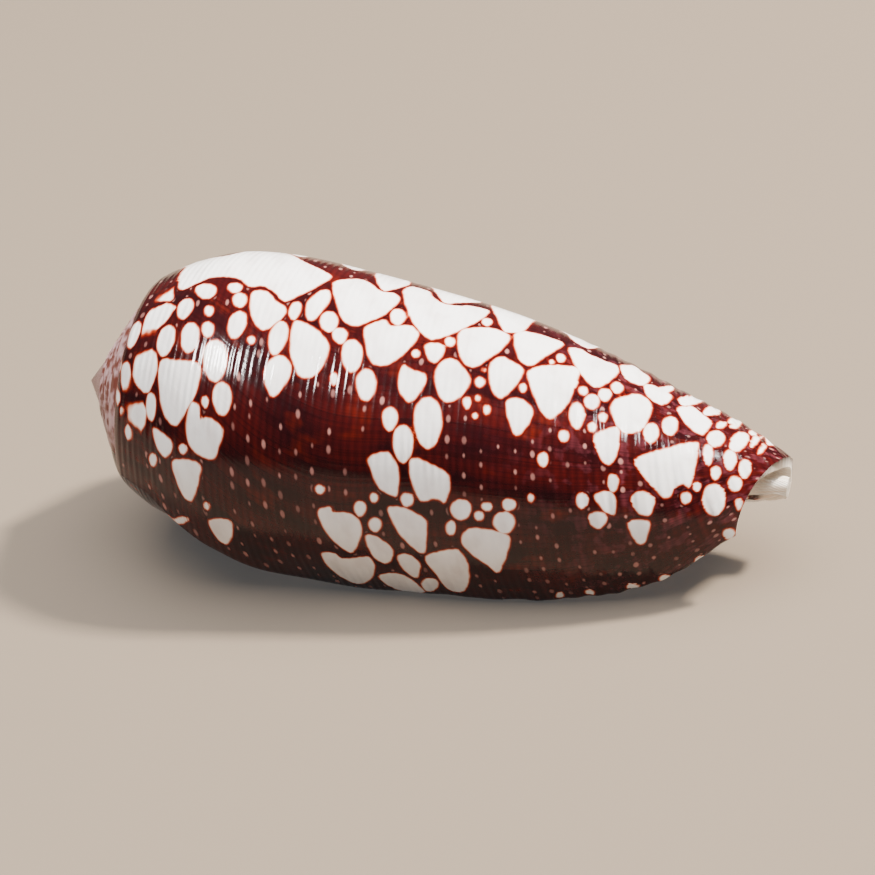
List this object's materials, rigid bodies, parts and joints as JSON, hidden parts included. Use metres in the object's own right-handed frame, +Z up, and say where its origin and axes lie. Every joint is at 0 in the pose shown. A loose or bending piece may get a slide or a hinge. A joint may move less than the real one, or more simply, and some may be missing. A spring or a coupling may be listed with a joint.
{
  "type": "cone shell",
  "caption": "Slender coiled cone shell with a low stepped spire, a rounded shoulder, a long slit aperture and a notched front tip, lying on its thin outer lip.",
  "frame": {"origin": "centre of the bounding box's bottom, on the surface the shell lies on", "axes": "+X along the coiling axis in plan, from the spire to the front tip; +Y away from the outer lip; +Z up from the surface"},
  "size_m": [0.0518, 0.0228, 0.021],
  "materials": {
    "shell": "gloss"
  },
  "bodies": {
    "root": {"cone_shell": "shell"}
  },
  "joints": []
}
